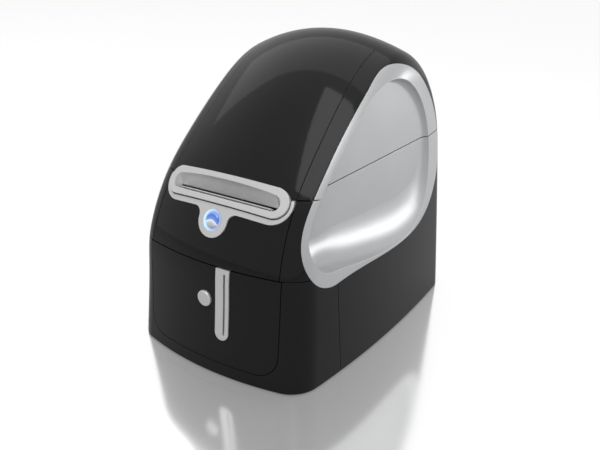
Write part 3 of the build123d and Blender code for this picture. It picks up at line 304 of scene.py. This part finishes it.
def button_blue():
    """The button's clear cap: deep blue above a painted highlight in a bright bow, pale below it, with a
    painted highlight at its top edge.
    """
    material, tree, shader = new_material("button_blue")
    side, up = on_button(tree, CAP_SPAN)
    square = calculate(tree, "MULTIPLY", side, side)
    bow = calculate(tree, "MULTIPLY_ADD", square, CAP_HIGHLIGHT_BOW, up)
    tint = colour_band(tree, calculate(tree, "ADD", bow, 0.5), CAP_STOPS_WITH_HIGHLIGHT)
    # The emission makes the cap's painted highlight glow with it
    fill(tree, shader, {
        "Base Color": tint,
        "Emission Color": tint,
        "Emission Strength": 0.25,
        "Roughness": 0.12,
        "Coat Weight": 0.8,
        "Coat Roughness": 0.04,
    })
    return material


def paper_turns(tree):
    """White label paper, with the edges of its turns as fine rings round the spool."""
    point = object_point(tree, Location=(0, -SPOOL_AT.y, -SPOOL_AT.z), Scale=(0, 1, 1))
    sockets = {"Vector": point, "Scale": TURNS_SCALE, "Distortion": TURNS_WOBBLE}
    rings = add_node(tree, "TexWave", sockets, wave_type="RINGS", rings_direction="SPHERICAL")
    return colour_band(tree, rings["Fac"], TURNS_STOPS)


def board_tracks(tree):
    """Green board with copper tracks under the lacquer."""
    return add_node(tree, "TexBrick", {
        "Vector": object_point(tree, Rotation=(radians(90), 0, 0)),
        "Scale": TRACK_SCALE,
        "Mortar Size": TRACK_WIDTH,
        "Color1": BOARD_DARK,
        "Color2": BOARD_LIGHT,
        "Mortar": TRACK_COLOUR,
    })["Color"]


def make_materials():
    polished = {"vary": 0.02, "grain": 5200, "metallic": 0.4}
    return {
        "gloss_black": gloss_black(),
        "satin_black": surface("inner_black", INNER_BLACK, 0.5, bump=0.06),
        # The side panels' silver, darkened as painted shade
        "silver": surface("satin_silver_painted_shade", SHADED_SIDE_SILVER, 0.34, **polished),
        "trim_silver": surface("trim_silver", TRIM_SILVER, 0.3, bump=0.015, **polished),
        "light_ring": light_ring(),
        "button_blue": button_blue(),
        "board_green": surface("circuit_board", board_tracks, 0.35, bump=0.04, coat=0.4),
        "steel": surface("steel", STEEL, 0.3, metallic=1.0, stretch=(0.05, 1, 1)),
        "rubber": surface("rubber", RUBBER_BLACK, 0.75, bump=0.12),
        "grey": surface("grey_plastic", PLASTIC_GREY, 0.45, bump=0.05),
        "white": surface("gear_white", GEAR_WHITE, 0.4),
        "brass": surface("brass", BRASS, 0.28, metallic=1.0),
        "paper": surface("paper", paper_turns, 0.8, grain=900, bump=0.05),
        "cardboard": surface("cardboard", CARDBOARD, 0.85, vary=0.12, grain=700, bump=0.2),
        "aluminium": surface("aluminium", ALUMINIUM, 0.35, metallic=1.0),
        "blue": surface("lever_blue", LEVER_BLUE, 0.4),
    }


def dress_nodes(materials):
    """Each node gets its slot's finish; the small silver trim is brighter than the side panels, whose
    silver is darkened as painted shade.
    """
    slots = {part["node"]: part["material_slot"] for part in frame["record"]["subparts"]}
    for name, node in nodes.items():
        node.data.materials.clear()
        finish = slots[name]
        if finish == "silver" and not name.startswith("side_panel"):
            finish = "trim_silver"
        node.data.materials.append(materials[finish])


def make_slot_lip(material):
    """A rounded bar along the lower side of the label slot; the slot stays open above and beside it."""
    up = Vector((0, sin(EXIT_TILT), cos(EXIT_TILT)))
    out = Vector((0, -cos(EXIT_TILT), sin(EXIT_TILT)))
    mesh = bmesh.new()
    rings = []
    for step in range(BAR_STEPS + 1):
        x = BAR_HALF * (2 * step / BAR_STEPS - 1)
        bow = BAR_BOW * (1 - (x / BAR_HALF) ** 2)
        ring = []
        for corner in range(BAR_SIDES):
            turn = tau * corner / BAR_SIDES
            height = BAR_UP + BAR_HEIGHT / 2 * sin(turn)
            depth = BAR_OUT + bow + BAR_DEPTH / 2 * cos(turn)
            ring.append(mesh.verts.new(EXIT_AT + Vector((x, 0, 0)) + up * height + out * depth))
        rings.append(ring)
    for first, second in zip(rings, rings[1:]):
        for corner in range(BAR_SIDES):
            after = (corner + 1) % BAR_SIDES
            mesh.faces.new((first[corner], first[after], second[after], second[corner])).smooth = True
    mesh.faces.new(rings[0])
    mesh.faces.new(list(reversed(rings[-1])))
    bmesh.ops.recalc_face_normals(mesh, faces=mesh.faces)
    data = bpy.data.meshes.new("slot_lip")
    mesh.to_mesh(data)
    mesh.free()
    data.materials.append(material)
    bar = bpy.data.objects.new("slot_lip", data)
    bpy.context.scene.collection.objects.link(bar)
    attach(bar, BAR_BODY)


def seen_directly(tree):
    """Two switches: rays from the camera alone, and those with rays off shiny things and through glass."""
    path = add_node(tree, "LightPath", {})
    camera = path["Is Camera Ray"]
    mirrored = calculate(tree, "MAXIMUM", camera, path["Is Glossy Ray"])
    return camera, calculate(tree, "MAXIMUM", mirrored, path["Is Transmission Ray"])


def make_floor():
    """A white table that mirrors the object a little softly."""
    bpy.ops.mesh.primitive_plane_add(size=FLOOR_SIZE)
    floor = bpy.context.object
    floor.name = "floor"
    material, tree, shader = new_material("pale_floor")
    camera, direct = seen_directly(tree)
    shine = calculate(tree, "MULTIPLY", direct, FLOOR_SHINE)
    fill(tree, shader, {
        "Base Color": FLOOR_COLOUR,
        "Roughness": FLOOR_ROUGHNESS,
        "Emission Color": (1, 1, 1, 1),
        "Emission Strength": calculate(tree, "MULTIPLY_ADD", camera, FLOOR_LIFT - FLOOR_SHINE, shine),
    })
    mirror = {"Color": MIRROR_COLOUR, "Roughness": MIRROR_ROUGHNESS}
    both = add_node(tree, "MixShader", {
        "Fac": calculate(tree, "MULTIPLY", camera, FLOOR_MIRROR),
        1: shader.outputs["BSDF"],
        2: add_node(tree, "BsdfGlossy", mirror)["BSDF"],
    })
    fill(tree, tree.nodes["Material Output"], {"Surface": both["Shader"]})
    floor.data.materials.append(material)


def make_world():
    """White where it is seen, and a softer light on everything else."""
    world = bpy.data.worlds.new("studio")
    world.use_nodes = True
    tree = world.node_tree
    _, direct = seen_directly(tree)
    level = calculate(tree, "MULTIPLY_ADD", direct, WORLD_SEEN - WORLD_SOFT, WORLD_SOFT)
    fill(tree, tree.nodes["Background"], {"Color": (1, 1, 1, 1), "Strength": level})
    bpy.context.scene.world = world


make_camera()
make_world()
make_floor()
for lamp_name, lamp_values in LAMPS.items():
    make_lamp(lamp_name, **lamp_values)
finishes = make_materials()
dress_nodes(finishes)
make_slot_lip(finishes["trim_silver"])

bpy.context.scene.view_settings.view_transform = "Standard"
